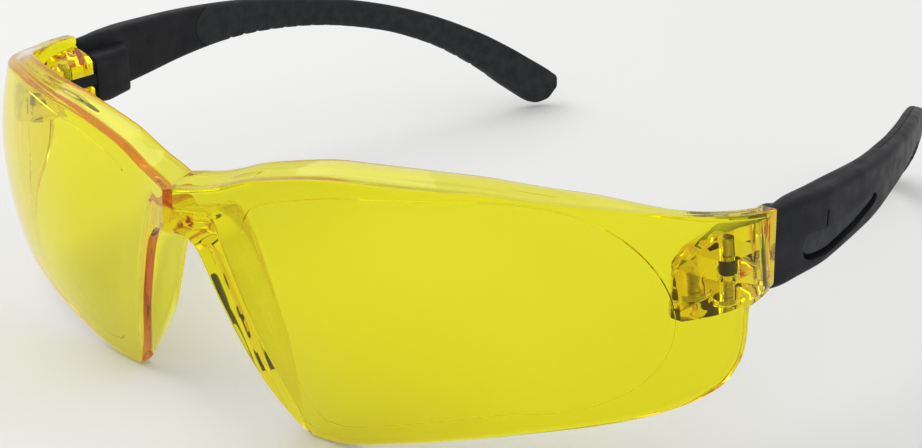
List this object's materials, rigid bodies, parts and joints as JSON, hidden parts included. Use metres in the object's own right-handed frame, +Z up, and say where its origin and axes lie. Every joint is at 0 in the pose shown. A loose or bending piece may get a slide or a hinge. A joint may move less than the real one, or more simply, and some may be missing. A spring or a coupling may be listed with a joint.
{
  "type": "safety glasses",
  "caption": "Wrap-around safety glasses with a one-piece tinted lens, moulded nose flanges and folding curved temples with soft liners.",
  "frame": {"origin": "on the surface the open glasses stand on, below the centre of their bounding box", "axes": "+X towards the wearer's left, -Y the way the lens faces, +Y back along the temples, +Z up"},
  "size_m": [0.1432, 0.1542, 0.0427],
  "materials": {
    "lens": "clear yellow polycarbonate, polished",
    "pin": "plain steel",
    "temple": "satin moulded nylon",
    "grip": "matt soft rubber, finely grained"
  },
  "bodies": {
    "front": {"lens": "lens", "left_hinge_pin": "pin", "right_hinge_pin": "pin"},
    "left_temple": {"left_temple_core": "temple", "left_temple_grip": "grip", "left_temple_inlay": "grip"},
    "right_temple": {"right_temple_core": "temple", "right_temple_grip": "grip", "right_temple_inlay": "grip"}
  },
  "joints": [
    {"name": "left_fold", "type": "hinge", "parent": "front", "child": "left_temple", "pos_m": [0.0642, -0.04163, 0.0286], "axis": [0, 0, 1], "range_deg": [0, 86]},
    {"name": "right_fold", "type": "hinge", "parent": "front", "child": "right_temple", "pos_m": [-0.0642, -0.04163, 0.0286], "axis": [0, 0, -1], "range_deg": [0, 76]}
  ]
}
